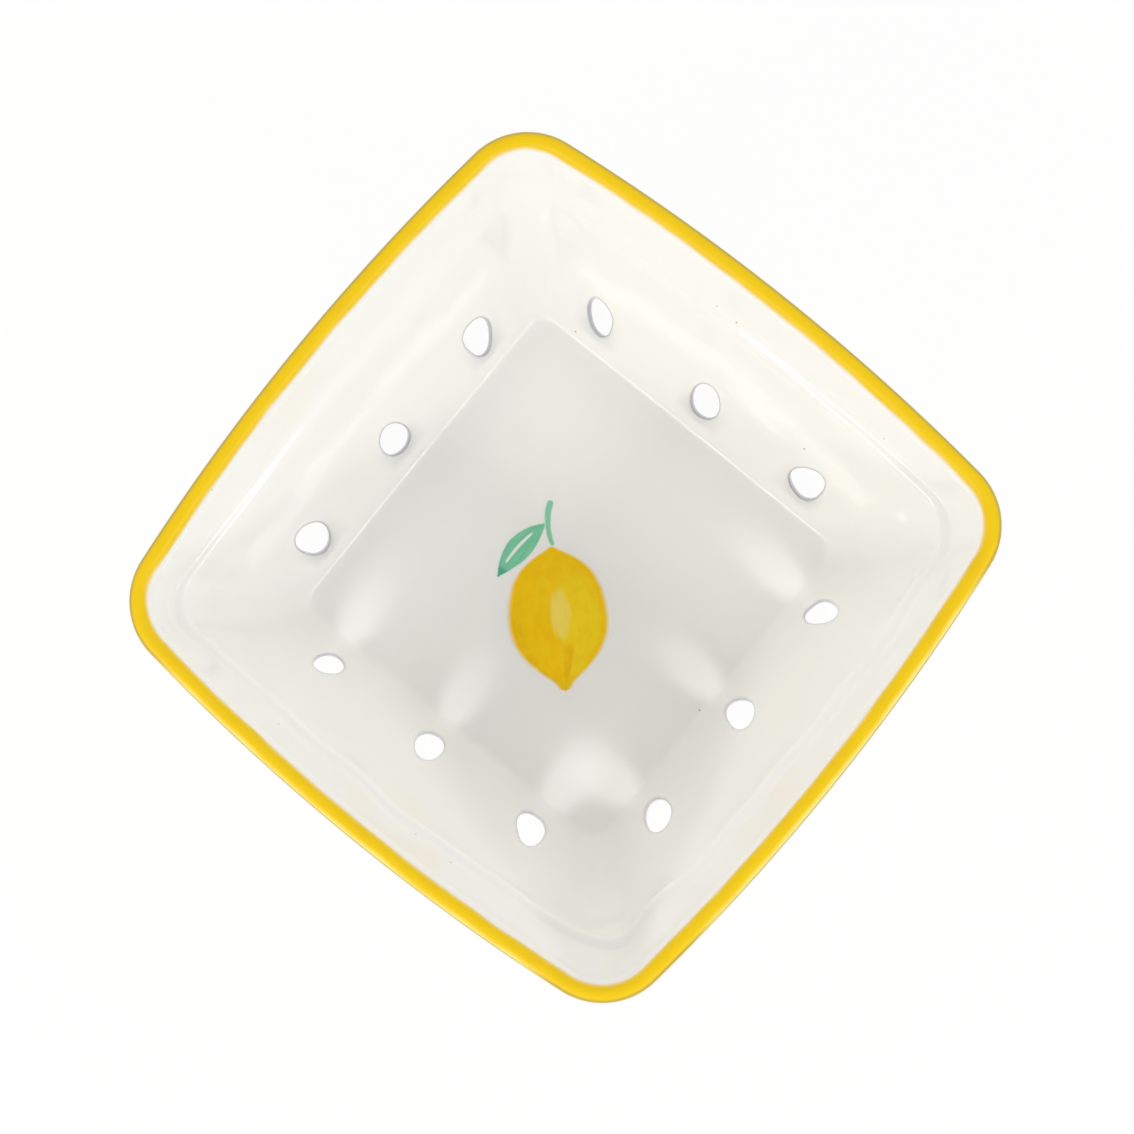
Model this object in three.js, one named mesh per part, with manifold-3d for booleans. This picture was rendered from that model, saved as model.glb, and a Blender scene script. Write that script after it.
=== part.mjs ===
// A square berry punnet in glazed ceramic: a bowl with bowed sides, a painted lip, a crease inside under the
// collar, twelve drain holes at the foot of its walls, a low unglazed foot and a lemon painted on the floor.
// Millimetres, +Z up. The origin is the centre of the plane that the foot rests on. The sides face X and Y.
import * as THREE from "three";
import { mergeVertices } from "three/addons/utils/BufferGeometryUtils.js";
import Module from "manifold-3d";

const wasm = await Module();
wasm.setup();

// Rim and lip, measured across the outside.
const RIM_WIDTH = 140;
const RIM_SIDE_RADIUS = 461;
const RIM_CORNER_RADIUS = 15.3;
const HEIGHT = 54;
const LIP_THICKNESS = 3.6;
const LIP_ROUND = 2;

// Collar: the steeper band under the lip, which ends in a crease inside and a shoulder outside.
const COLLAR_DEPTH = 13;
const COLLAR_LEAN = 4.6;
const CREASE_STEP = 1.6;
const CREASE_DROP = 1;
const CREASE_SIDE_RADIUS = 750;
const CREASE_CORNER_RADIUS = 5;

// Walls and floor, measured inside.
const FLOOR_WIDTH = 83.8;
const FLOOR_SIDE_RADIUS = 4000;
const FLOOR_CORNER_RADIUS = 4;
const FLOOR_THICKNESS = 4.5;
const WALL_THICKNESS = 4;
const WALL_BELLY = 1.5;

// Drain holes: bored nearly upright through the foot of each wall, leaning outwards as they go down.
const DRAIN_DIAMETER = 7.6;
const DRAIN_PITCH = 28.7;
const DRAINS_PER_WALL = 3;
const DRAIN_SET_OUT = 6.6;
const DRAIN_LEAN = THREE.MathUtils.degToRad(8);

// Foot: a square ring luted under the floor.
const FOOT_HEIGHT = 2;
const FOOT_INSET = 1.9;
const FOOT_BREADTH = 4.5;
const FOOT_CORNER_RADIUS = 8;
const FOOT_EDGE = 0.6;

// Coat of coloured glaze over the lip. It stands in a rebate and its two edges rest on the rebate's ledges.
const COAT_THICKNESS = 0.6;
const COAT_CLEARANCE = 0.25;
const COAT_DROP_OUTSIDE = 4.7;

// Painted lemon: its middle is placed from the floor's centre, along and across a diagonal of the floor.
const ENAMEL_THICKNESS = 0.4;
const ENAMEL_GAP = 0.3;
const MOTIF_ALONG = -9.4;
const MOTIF_ACROSS = -3.3;
const MOTIF_TURN = -Math.PI / 4;
const FRUIT_LENGTH = 32;
const FRUIT_WIDTH = 22;
const FRUIT_NECK = 0.5;
const FRUIT_NECK_POWER = 8;
const STEM_LENGTH = 9.6;
const STEM_BEND = 1.1;
const STEM_WIDTH = 1.5;
const LEAF_LENGTH = 16;
const LEAF_WIDTH = 5.4;
const LEAF_DROOP = THREE.MathUtils.degToRad(42);
const LEAF_BEND = 1.4;
const VEIN_WIDTH = 0.8;

// Fineness of the facets.
const SIDE_STEPS = 6;
const CORNER_STEPS = 6;
const CURVE_STEPS = 6;
const DRAIN_SIDES = 24;
const STROKE_STEPS = 14;
const FRUIT_STEPS = 48;

// Heights and half widths that follow from the sizes above.
const floorHeight = FOOT_HEIGHT + FLOOR_THICKNESS;
const seatHeight = HEIGHT - LIP_ROUND;
const creaseHeight = HEIGHT - COLLAR_DEPTH;
const coatFootHeight = HEIGHT - COAT_DROP_OUTSIDE;
const rimHalf = RIM_WIDTH / 2;
const lipHalf = rimHalf - LIP_THICKNESS;
const collarHalf = lipHalf - COLLAR_LEAN;
const floorHalf = FLOOR_WIDTH / 2;
const seatWidth = COAT_THICKNESS + COAT_CLEARANCE;

// The inner face's plan at three heights. Between them its bow and corners change evenly.
const STATIONS = [
  { z: floorHeight, half: floorHalf, bow: 1 / FLOOR_SIDE_RADIUS, corner: FLOOR_CORNER_RADIUS },
  { z: creaseHeight, half: collarHalf, bow: 1 / CREASE_SIDE_RADIUS, corner: CREASE_CORNER_RADIUS },
  {
    z: seatHeight,
    half: lipHalf,
    bow: 1 / (RIM_SIDE_RADIUS - LIP_THICKNESS),
    corner: RIM_CORNER_RADIUS - LIP_THICKNESS,
  },
];

// A square of the given half width whose sides are arcs of radius side, with corner arcs tangent to them,
// as points that run anticlockwise at height z.
function roundedSquare(half, side, corner, z) {
  const sideCentre = half - side;
  const reach = side - corner;
  // The corner's centre lies on the diagonal, at the distance reach from the side's centre.
  const diagonal = (sideCentre + Math.sqrt(2 * reach * reach - sideCentre * sideCentre)) / 2;
  const join = Math.atan2(diagonal, diagonal - sideCentre);
  const sideArc = new THREE.EllipseCurve(sideCentre, 0, side, side, -join, join);
  const cornerArc = new THREE.EllipseCurve(diagonal, diagonal, corner, corner, join, Math.PI / 2 - join);
  const quarter = [
    ...sideArc.getPoints(SIDE_STEPS).slice(0, -1),
    ...cornerArc.getPoints(CORNER_STEPS).slice(0, -1),
  ];
  const centre = new THREE.Vector2();
  return [0, 1, 2, 3].flatMap((turn) =>
    quarter.map((point) => {
      const turned = point.clone().rotateAround(centre, (turn * Math.PI) / 2);
      return new THREE.Vector3(turned.x, turned.y, z);
    }),
  );
}

// The plan outline through the profile point (half, z), with sides and corners parallel to the inner face's.
function planAt(half, z) {
  const upper = Math.max(1, STATIONS.findIndex((station) => station.z >= z));
  const top = z > seatHeight ? STATIONS.at(-1) : STATIONS[upper];
  const foot = z > seatHeight ? STATIONS.at(-2) : STATIONS[upper - 1];
  const share = THREE.MathUtils.clamp((z - foot.z) / (top.z - foot.z), 0, 1);
  const between = (key) => THREE.MathUtils.lerp(foot[key], top[key], share);
  const outwards = half - between("half");
  return roundedSquare(half, 1 / between("bow") + outwards, between("corner") + outwards, z);
}

// A skin over a stack of outlines with equal counts of points. A looped stack closes on itself, and any other
// is closed by a flat face in its first and last outline.
function loft(outlines, looped) {
  const count = outlines[0].length;
  const points = outlines.flat();
  const faces = [];
  const rows = looped ? outlines.length : outlines.length - 1;
  for (let row = 0; row < rows; row++) {
    const next = (row + 1) % outlines.length;
    for (let i = 0; i < count; i++) {
      const j = (i + 1) % count;
      faces.push(row * count + i, next * count + i, next * count + j);
      faces.push(row * count + i, next * count + j, row * count + j);
    }
  }
  if (!looped) {
    const first = points.push(new THREE.Vector3(0, 0, outlines[0][0].z)) - 1;
    const last = points.push(new THREE.Vector3(0, 0, outlines.at(-1)[0].z)) - 1;
    const lastRow = (outlines.length - 1) * count;
    for (let i = 0; i < count; i++) {
      const j = (i + 1) % count;
      faces.push(first, i, j);
      faces.push(last, lastRow + j, lastRow + i);
    }
  }
  return new THREE.BufferGeometry().setFromPoints(points).setIndex(faces);
}

// The solid of a closed geometry, for cutting.
function solidOf(geometry) {
  const bare = geometry.clone().deleteAttribute("normal").deleteAttribute("uv");
  const merged = mergeVertices(bare);
  return new wasm.Manifold(
    new wasm.Mesh({
      numProp: 3,
      vertProperties: merged.attributes.position.array,
      triVerts: new Uint32Array(merged.index.array),
    }),
  );
}

function geometryOf(solid) {
  const mesh = solid.getMesh();
  return new THREE.BufferGeometry()
    .setAttribute("position", new THREE.BufferAttribute(mesh.vertProperties, mesh.numProp))
    .setIndex(new THREE.BufferAttribute(mesh.triVerts, 1));
}

// The wall's profile from floor to crease, moved out square to the inner face: a curve whose belly swells
// below its chord.
function wallCurve(outwards) {
  const foot = new THREE.Vector2(floorHalf, floorHeight);
  const top = new THREE.Vector2(collarHalf - CREASE_STEP, creaseHeight - CREASE_DROP);
  const chord = top.clone().sub(foot).normalize();
  const below = new THREE.Vector2(chord.y, -chord.x);
  const bend = foot.clone().lerp(top, 1 / 2).addScaledVector(below, 2 * WALL_BELLY);
  const inner = new THREE.QuadraticBezierCurve(foot, bend, top);
  const moved = (t) => {
    const along = inner.getTangent(t);
    const square = new THREE.Vector2(along.y, -along.x);
    return { along, point: inner.getPoint(t).addScaledVector(square, outwards) };
  };
  const low = moved(0);
  const high = moved(1);
  const span = high.point.clone().sub(low.point);
  const run = span.cross(high.along) / low.along.cross(high.along);
  const control = low.point.clone().addScaledVector(low.along, run);
  return new THREE.QuadraticBezierCurve(low.point, control, high.point);
}

// The lip's round top at a depth under its outer skin, from the inner face to the outer one.
function lipArc(path, depth) {
  const radius = LIP_THICKNESS / 2 - depth;
  path.absellipse(rimHalf - LIP_THICKNESS / 2, seatHeight, radius, LIP_ROUND - depth, Math.PI, 0, true);
  return path;
}

// The collar's outer face, parallel to its inner one.
const collarSlope = COLLAR_LEAN / (seatHeight - creaseHeight);
const coatFootHalf = rimHalf - (seatHeight - coatFootHeight) * collarSlope;
const collarOuterHalf = rimHalf - COLLAR_LEAN;

function bowlBody() {
  const inner = wallCurve(0);
  const outer = wallCurve(WALL_THICKNESS);
  // The outer face runs on down its slope until it meets the underside.
  const slope = outer.getTangent(0);
  const base = outer.v0.clone().addScaledVector(slope, (FOOT_HEIGHT - outer.v0.y) / slope.y);
  const profile = new THREE.Path();
  profile.moveTo(inner.v0.x, inner.v0.y);
  profile.quadraticCurveTo(inner.v1.x, inner.v1.y, inner.v2.x, inner.v2.y);
  profile.lineTo(collarHalf, creaseHeight);
  profile.lineTo(lipHalf, seatHeight);
  lipArc(profile, seatWidth);
  profile.lineTo(coatFootHalf - seatWidth, coatFootHeight);
  profile.lineTo(coatFootHalf, coatFootHeight);
  profile.lineTo(collarOuterHalf, creaseHeight);
  profile.lineTo(outer.v2.x, outer.v2.y);
  profile.quadraticCurveTo(outer.v1.x, outer.v1.y, base.x, base.y);
  const shell = loft(profile.getPoints(CURVE_STEPS).map((point) => planAt(point.x, point.y)), false);
  return geometryOf(drainBores().reduce((solid, bore) => solid.subtract(bore), solidOf(shell)));
}

// One upright bore for each drain hole, leaning about the point where it crosses the middle of the wall.
function drainBores() {
  const middle = wallCurve(WALL_THICKNESS / 2).getPoints(CURVE_STEPS);
  const reach = floorHalf + DRAIN_SET_OUT;
  const above = middle.findIndex((point) => point.x > reach);
  const share = (reach - middle[above - 1].x) / (middle[above].x - middle[above - 1].x);
  const crossing = THREE.MathUtils.lerp(middle[above - 1].y, middle[above].y, share);
  const radius = DRAIN_DIAMETER / 2;
  const bores = [];
  for (let wall = 0; wall < 4; wall++) {
    for (let i = 0; i < DRAINS_PER_WALL; i++) {
      const bore = new THREE.CylinderGeometry(radius, radius, 2 * HEIGHT, DRAIN_SIDES);
      bore.rotateX(Math.PI / 2);
      bore.rotateY(-DRAIN_LEAN);
      bore.translate(reach, (i - (DRAINS_PER_WALL - 1) / 2) * DRAIN_PITCH, crossing);
      bore.rotateZ((wall * Math.PI) / 2);
      bores.push(solidOf(bore));
    }
  }
  return bores;
}

function rimBand() {
  const skin = new THREE.Path();
  lipArc(skin, 0);
  skin.lineTo(coatFootHalf, coatFootHeight);
  const lining = new THREE.Path();
  lipArc(lining, COAT_THICKNESS);
  lining.lineTo(coatFootHalf - COAT_THICKNESS, coatFootHeight);
  const section = [...skin.getPoints(CURVE_STEPS), ...lining.getPoints(CURVE_STEPS).reverse()];
  return loft(section.map((point) => planAt(point.x, point.y)), true);
}

function footRing() {
  const outerHalf = floorHalf - FOOT_INSET;
  const innerHalf = outerHalf - FOOT_BREADTH;
  const section = [
    [innerHalf + FOOT_EDGE, 0],
    [innerHalf, FOOT_EDGE],
    [innerHalf, FOOT_HEIGHT],
    [outerHalf, FOOT_HEIGHT],
    [outerHalf, FOOT_EDGE],
    [outerHalf - FOOT_EDGE, 0],
  ];
  const ringAt = ([half, z]) =>
    roundedSquare(half, FLOOR_SIDE_RADIUS, FOOT_CORNER_RADIUS + half - outerHalf, z);
  return loft(section.map(ringAt), true);
}

// A layer of enamel as thick as a fired brush stroke.
function enamel(shape) {
  return new THREE.ExtrudeGeometry(shape, { depth: ENAMEL_THICKNESS, bevelEnabled: false });
}

// A brush stroke's outline: both sides of a curve, at a half width that changes along it.
function stroke(curve, halfWidth) {
  const sideOf = (hand) =>
    Array.from({ length: STROKE_STEPS + 1 }, (unused, i) => {
      const along = curve.getTangent(i / STROKE_STEPS);
      const across = new THREE.Vector2(-along.y, along.x);
      return curve.getPoint(i / STROKE_STEPS).addScaledVector(across, hand * halfWidth(i / STROKE_STEPS));
    });
  return [...sideOf(-1), ...sideOf(1).reverse()];
}

// An ellipse drawn in near both ends, which leaves a nub at the stem and a tip at the other end.
function fruit() {
  const points = Array.from({ length: FRUIT_STEPS }, (unused, i) => {
    const turn = (2 * Math.PI * i) / FRUIT_STEPS;
    const neck = 1 - FRUIT_NECK * Math.cos(turn) ** FRUIT_NECK_POWER;
    return new THREE.Vector2((-FRUIT_WIDTH / 2) * Math.sin(turn) * neck, (FRUIT_LENGTH / 2) * Math.cos(turn));
  });
  return enamel(new THREE.Shape(points));
}

// The stem rises from the nub, bends to one side and widens towards its cut end.
const stemFoot = FRUIT_LENGTH / 2 + ENAMEL_GAP;
const stemLine = new THREE.QuadraticBezierCurve(
  new THREE.Vector2(STEM_BEND / 2, stemFoot),
  new THREE.Vector2(-STEM_BEND, stemFoot + STEM_LENGTH / 2),
  new THREE.Vector2(STEM_BEND, stemFoot + STEM_LENGTH),
);

function stem() {
  const widening = (t) => (STEM_WIDTH / 2) * THREE.MathUtils.lerp(2 / 3, 1, t);
  return enamel(new THREE.Shape(stroke(stemLine, widening)));
}

// The leaf hangs from the stem's middle: two halves either side of a bare vein, joined at both ends.
function leaf() {
  const joint = stemLine.getPoint(1 / 2);
  const start = new THREE.Vector2(joint.x - STEM_WIDTH / 2 - ENAMEL_GAP, joint.y);
  const along = new THREE.Vector2(-Math.cos(LEAF_DROOP), -Math.sin(LEAF_DROOP));
  const across = new THREE.Vector2(-along.y, along.x);
  const tip = start.clone().addScaledVector(along, LEAF_LENGTH);
  const bend = start.clone().lerp(tip, 1 / 2).addScaledVector(across, -LEAF_BEND);
  const midrib = new THREE.QuadraticBezierCurve(start, bend, tip);
  const blade = (t) => (LEAF_WIDTH / 2) * Math.max(Math.sin(Math.PI * t), ENAMEL_GAP / LEAF_WIDTH);
  const shape = new THREE.Shape(stroke(midrib, blade));
  const [veinStart, veinMiddle, veinEnd] = [1 / 4, 1 / 2, 3 / 4].map((t) => midrib.getPoint(t));
  const veinLine = new THREE.QuadraticBezierCurve(veinStart, veinMiddle, veinEnd);
  const taper = (t) => (VEIN_WIDTH / 2) * Math.max(Math.sin(Math.PI * t), ENAMEL_GAP);
  shape.holes.push(new THREE.Path(stroke(veinLine, taper)));
  return enamel(shape);
}

function piece(name, geometry, color, roughness) {
  const mesh = new THREE.Mesh(geometry, new THREE.MeshStandardMaterial({ color, roughness, metalness: 0 }));
  mesh.name = name;
  return mesh;
}

const WHITE_GLAZE = 0xf1efe8;
const YELLOW_GLAZE = 0xf6cf1c;
const BARE_CLAY = 0xd9cdb8;
const LEMON_ENAMEL = 0xdcb61c;
const LEAF_ENAMEL = 0x78c29b;
const GLOSS = 0.12;
const BISQUE = 0.85;

const motif = new THREE.Group();
motif.rotation.z = MOTIF_TURN;
motif.position.set(
  MOTIF_ACROSS * Math.cos(MOTIF_TURN) - MOTIF_ALONG * Math.sin(MOTIF_TURN),
  MOTIF_ACROSS * Math.sin(MOTIF_TURN) + MOTIF_ALONG * Math.cos(MOTIF_TURN),
  floorHeight,
);
motif.add(
  piece("motif_fruit", fruit(), LEMON_ENAMEL, GLOSS),
  piece("motif_stem", stem(), LEAF_ENAMEL, GLOSS),
  piece("motif_leaf", leaf(), LEAF_ENAMEL, GLOSS),
);

const punnet = new THREE.Group();
punnet.add(
  piece("bowl_body", bowlBody(), WHITE_GLAZE, GLOSS),
  piece("rim_band", rimBand(), YELLOW_GLAZE, GLOSS),
  piece("foot_ring", footRing(), BARE_CLAY, BISQUE),
  motif,
);

export default punnet;
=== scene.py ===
import bpy
import numpy as np
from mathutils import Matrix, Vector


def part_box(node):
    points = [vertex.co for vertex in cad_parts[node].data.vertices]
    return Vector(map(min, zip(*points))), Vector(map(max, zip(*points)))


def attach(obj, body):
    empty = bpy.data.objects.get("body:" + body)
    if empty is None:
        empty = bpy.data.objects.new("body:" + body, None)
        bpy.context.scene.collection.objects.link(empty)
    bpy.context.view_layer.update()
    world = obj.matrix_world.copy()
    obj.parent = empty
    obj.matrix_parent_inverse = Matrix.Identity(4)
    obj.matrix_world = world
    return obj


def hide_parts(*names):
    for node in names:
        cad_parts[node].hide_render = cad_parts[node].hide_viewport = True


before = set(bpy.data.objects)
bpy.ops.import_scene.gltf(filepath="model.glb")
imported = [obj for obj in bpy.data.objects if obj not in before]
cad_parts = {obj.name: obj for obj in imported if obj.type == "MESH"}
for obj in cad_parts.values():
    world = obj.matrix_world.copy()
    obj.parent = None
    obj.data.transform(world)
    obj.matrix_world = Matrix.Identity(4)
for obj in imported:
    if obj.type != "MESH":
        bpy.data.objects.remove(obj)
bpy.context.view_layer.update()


# Bowl body: one clay wall pressed over a square mould, so its sides bow and its corners turn tighter towards
# the floor. The drain holes are cut through the foot of each wall before firing, and the white glaze that the
# whole body is dipped in rounds every edge. Sizes are metres.
rim_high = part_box("rim_band")[1]
foot_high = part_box("foot_ring")[1]
fruit_low, fruit_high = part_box("motif_fruit")
FOOT_INSET = 0.0019
RIM_HALF = rim_high.x
HEIGHT = rim_high.z
UNDERSIDE = foot_high.z
FLOOR = fruit_low.z
FLOOR_HALF = foot_high.x + FOOT_INSET
LIP_THICKNESS = 0.0036
LIP_ROUND = 0.002
COLLAR_DEPTH = 0.013
COLLAR_LEAN = 0.0046
CREASE_STEP = 0.002
CREASE_DROP = 0.0005
WALL_THICKNESS = 0.004
WALL_BELLY = 0.0015
SEAT = HEIGHT - LIP_ROUND
CREASE = HEIGHT - COLLAR_DEPTH
LIP_HALF = RIM_HALF - LIP_THICKNESS
COLLAR_HALF = LIP_HALF - COLLAR_LEAN

# The inner face's plan at the floor, the crease and the lip: height, half width, bow of the sides and corner
# radius.
STATION_HEIGHT = np.array([FLOOR, CREASE, SEAT])
STATION_HALF = np.array([FLOOR_HALF, COLLAR_HALF, LIP_HALF])
STATION_BOW = 1 / np.array([4.0, 0.75, 0.4574])
STATION_CORNER = np.array([0.0045, 0.0105, 0.0117])
SIDE_COLUMNS = 78
CORNER_COLUMNS = 16
QUARTER_COLUMNS = SIDE_COLUMNS + CORNER_COLUMNS


def plan_radii(half, height):
    """Radius of the bowed sides and of the corners through a profile point: the inner face's radii at that
    height, more by as much as the point lies outside that face, so that all faces run parallel, and in
    proportion to the half width where it lies inside."""
    inner = np.interp(height, STATION_HEIGHT, STATION_HALF)
    outwards = np.maximum(half - inner, 0)
    share = np.minimum(half / inner, 1)
    side = share / np.interp(height, STATION_HEIGHT, STATION_BOW) + outwards
    return side, share * np.interp(height, STATION_HEIGHT, STATION_CORNER) + outwards


def bowed_square(half, side, corner):
    """Square outline of each half width: along a side, an arc of radius side about a centre on the axis; at a
    corner, an arc of radius corner about the point on the diagonal where it is tangent to both sides. Arrays
    of one row for each outline and one column for each step round it, anticlockwise."""
    half, side, corner = (np.asarray(value)[:, None] for value in (half, side, corner))
    centre = half - side
    reach = side - corner
    diagonal = (centre + np.sqrt(2 * reach**2 - centre**2)) / 2
    join = np.arctan2(diagonal, diagonal - centre)
    along = np.arange(SIDE_COLUMNS) / SIDE_COLUMNS * 2 - 1
    round_corner = np.arange(CORNER_COLUMNS) / CORNER_COLUMNS
    bend = join + (np.pi / 2 - 2 * join) * round_corner
    x = np.hstack([centre + side * np.cos(join * along), diagonal + corner * np.cos(bend)])
    y = np.hstack([side * np.sin(join * along), diagonal + corner * np.sin(bend)])
    return np.hstack([x, -y, -x, y]), np.hstack([y, x, -y, -x])


def swept(halves, heights, side, corner):
    """A profile carried round its bowed squares: one row for each of its points, one column for each step."""
    x, y = bowed_square(halves, side, corner)
    return np.stack([x, y, np.repeat(heights[:, None], x.shape[1], 1)], 2)


def bezier(start, control, end, count):
    """Points of a quadratic curve: the control point's weight rises and falls between the two ends'."""
    t = np.linspace(0, 1, count)[:, None]
    return (1 - t) ** 2 * start + 2 * t * (1 - t) * control + t**2 * end


def wall_profile(outwards):
    """Ends and control point of the wall's profile, moved out square to the inner face. The inner face is a
    curve whose belly hangs below its chord, and the moved curve keeps the directions of its two ends."""
    foot = np.array([FLOOR_HALF, FLOOR])
    top = np.array([COLLAR_HALF - CREASE_STEP, CREASE - CREASE_DROP])
    chord = (top - foot) / np.linalg.norm(top - foot)
    control = (foot + top) / 2 + 2 * WALL_BELLY * np.array([chord[1], -chord[0]])
    low = (control - foot) / np.linalg.norm(control - foot)
    high = (top - control) / np.linalg.norm(top - control)
    foot = foot + outwards * np.array([low[1], -low[0]])
    top = top + outwards * np.array([high[1], -high[0]])
    run = np.linalg.solve(np.stack([low, high], 1), top - foot)[0]
    return foot, foot + run * low, top


FINE_STEP = 0.00006
BELL_REACH = 3


def softened(points, softness):
    """The profile with every corner rounded, as glaze rounds it: points at even steps along the straight
    runs, then a running mean weighted by a bell curve of that width. Both ends stay where they are."""
    run = np.r_[0, np.cumsum(np.hypot(*np.diff(points, axis=0).T))]
    even = np.arange(0, run[-1], FINE_STEP)
    path = np.stack([np.interp(even, run, points[:, k]) for k in (0, 1)], 1)
    reach = int(BELL_REACH * softness / FINE_STEP)
    bell = np.exp(-0.5 * (np.arange(-reach, reach + 1) * FINE_STEP / softness) ** 2)
    padded = np.pad(path, ((reach, reach), (0, 0)), mode="reflect", reflect_type="odd")
    return np.stack([np.convolve(padded[:, k], bell / bell.sum(), "valid") for k in (0, 1)], 1)


def rows_by_bend(path, step, rows_per_radian):
    """Positions of the mesh rows along a fine profile: a step apart where it runs straight, and closer
    together in proportion to how fast it bends."""
    run = np.diff(path, axis=0)
    turn = np.abs(np.diff(np.unwrap(np.arctan2(run[:, 1], run[:, 0])), append=0))
    turn[-1] = 0
    count = np.r_[0, np.cumsum(np.hypot(*run.T) / step + turn * rows_per_radian)]
    return np.interp(np.linspace(0, count[-1], int(count[-1])), count, np.arange(len(path)))


def at_rows(path, rows):
    """The fine profile's points at fractional row positions."""
    return np.stack([np.interp(rows, np.arange(len(path)), path[:, k]) for k in (0, 1)], 1)


def smooth(low, high, value):
    """0 below low, 1 above high, and an even S between them."""
    t = np.clip((value - low) / (high - low), 0, 1)
    return t * t * (3 - 2 * t)


def square_to(path):
    """Unit vectors square to a profile, out of the clay."""
    along = np.gradient(path, axis=0)
    along /= np.linalg.norm(along, axis=1)[:, None]
    return np.stack([-along[:, 1], along[:, 0]], 1)


# The profile runs from the floor's centre up the inside, over the lip and down the outside. Glaze rounds it,
# most in the fold between floor and wall.
GLAZE_SOFTNESS = 0.00045
FOLD_SOFTNESS = 0.0009
FOLD_REACH = 0.006
FLOOR_CENTRE = 0.002
CURVE_POINTS = 60
LIP_POINTS = 40
outer_foot, outer_control, outer_top = wall_profile(WALL_THICKNESS)
outer_slope = (outer_control - outer_foot) / np.linalg.norm(outer_control - outer_foot)
base_edge = outer_foot + outer_slope * (UNDERSIDE - outer_foot[1]) / outer_slope[1]
over_lip = np.linspace(np.pi, 0, LIP_POINTS)
lip_half = RIM_HALF - LIP_THICKNESS / 2 + LIP_THICKNESS / 2 * np.cos(over_lip)
sharp_profile = np.vstack(
    [
        [[FLOOR_CENTRE, FLOOR]],
        bezier(*wall_profile(0), CURVE_POINTS),
        [[COLLAR_HALF, CREASE]],
        np.stack([lip_half, SEAT + LIP_ROUND * np.sin(over_lip)], 1),
        [[RIM_HALF - COLLAR_LEAN, CREASE]],
        bezier(outer_top, outer_control, base_edge, CURVE_POINTS),
        [[FLOOR_CENTRE, UNDERSIDE]],
    ]
)
profile = softened(sharp_profile, GLAZE_SOFTNESS)
from_fold = np.arange(len(profile)) * FINE_STEP - FLOOR_HALF + FLOOR_CENTRE
in_fold = np.exp(-((from_fold / FOLD_REACH) ** 2))[:, None]
profile = profile + (softened(sharp_profile, FOLD_SOFTNESS) - profile) * in_fold
crest = int(np.argmax(profile[:, 1]))

# Under the coat of yellow glaze the clay of the lip is thinner, and it comes back to full thickness at the
# coat's two edges.
COAT_INSIDE = 0.0045
COAT_OUTSIDE = 0.0075
COAT_FEATHER = 0.0012
COAT_DEPTH = 0.0003
profile_run = np.r_[0, np.cumsum(np.hypot(*np.diff(profile, axis=0).T))]
from_crest = profile_run - profile_run[crest]
under_coat = smooth(-COAT_INSIDE, -COAT_INSIDE + COAT_FEATHER, from_crest)
under_coat *= 1 - smooth(COAT_OUTSIDE - COAT_FEATHER, COAT_OUTSIDE, from_crest)
clay_profile = profile - square_to(profile) * (COAT_DEPTH * under_coat)[:, None]

WALL_STEP = 0.00105
FLOOR_STEP = 0.0035
FLOOR_INSET = 0.002
FLOOR_RISE = 0.001
BODY_BEND_ROWS = 4.5
lies_flat = (profile[:, 0] < FLOOR_HALF - FLOOR_INSET) & (profile[:, 1] < FLOOR + FLOOR_RISE)
body_rows = rows_by_bend(profile, np.where(lies_flat[:-1], FLOOR_STEP, WALL_STEP), BODY_BEND_ROWS)
body_halves, body_heights = at_rows(clay_profile, body_rows).T
grid = swept(body_halves, body_heights, *plan_radii(body_halves, body_heights))
ROWS, COLUMNS = grid.shape[:2]
body_crest = int(np.argmax(body_heights))
inside_bowl = np.arange(ROWS) < body_crest

# By hand the crease isn't quite even: it wanders in and out by part of a millimetre, most on two sides, and
# the glaze lies thicker in it towards the corner between the other two.
CREASE_WANDER = 0.0003
CREASE_WAVES = ((7, 0.4), (11, 2.1), (17, 4.4), (23, 1.3))
WANDER_FADE = 1.5
CREASE_FILLED = 0.002
FILLED_FADE = 2
CREASE_REACH = 0.0035
round_bowl = np.linspace(0, 2 * np.pi, COLUMNS, endpoint=False)
from_corner = (1 - np.cos(round_bowl - np.pi / 2)) / 2
in_crease = np.exp(-(((body_heights - CREASE) / CREASE_REACH) ** 2)) * inside_bowl
filled_halves, filled_heights = at_rows(softened(sharp_profile, CREASE_FILLED), body_rows).T
filled = swept(filled_halves, filled_heights, *plan_radii(filled_halves, filled_heights))
grid += (filled - grid) * (in_crease[:, None] * (1 - from_corner) ** FILLED_FADE)[..., None]
wander = sum(np.sin(waves * round_bowl + start) for waves, start in CREASE_WAVES)
wander = wander * CREASE_WANDER * from_corner**WANDER_FADE / COLLAR_HALF
grid[..., :2] *= (1 + in_crease[:, None] * wander)[..., None]


def within_half_turn(angle):
    """The same angle, between minus and plus half a turn."""
    return (angle + np.pi) % (2 * np.pi) - np.pi


# Nor do its four corners turn alike. At each, anticlockwise from +X +Y, the crease lies further out or in
# over a span of angle, with more of the wall below it than of the collar above.
CORNER_SET = np.array([0.0, 0.0011, -0.0022, -0.0007])
CORNER_SPAN = np.radians((6, 5.5, 12, 8))
COLLAR_REACH = 0.0045
WALL_REACH = 0.010
crease_x, crease_y = grid[int(np.argmax(in_crease)), :, :2].T
corner_turn = np.arctan2(crease_y, crease_x)[:, None] - np.pi / 4 - np.pi / 2 * np.arange(4)
corner_bump = np.exp(-((within_half_turn(corner_turn) / CORNER_SPAN) ** 2))
corner_shift = corner_bump @ CORNER_SET / np.hypot(crease_x, crease_y).max()
reach = np.where(body_heights > CREASE, COLLAR_REACH, WALL_REACH)
near_crease = np.exp(-(((body_heights - CREASE) / reach) ** 2)) * inside_bowl
grid[..., :2] *= (1 + near_crease[:, None] * corner_shift)[..., None]

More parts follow.
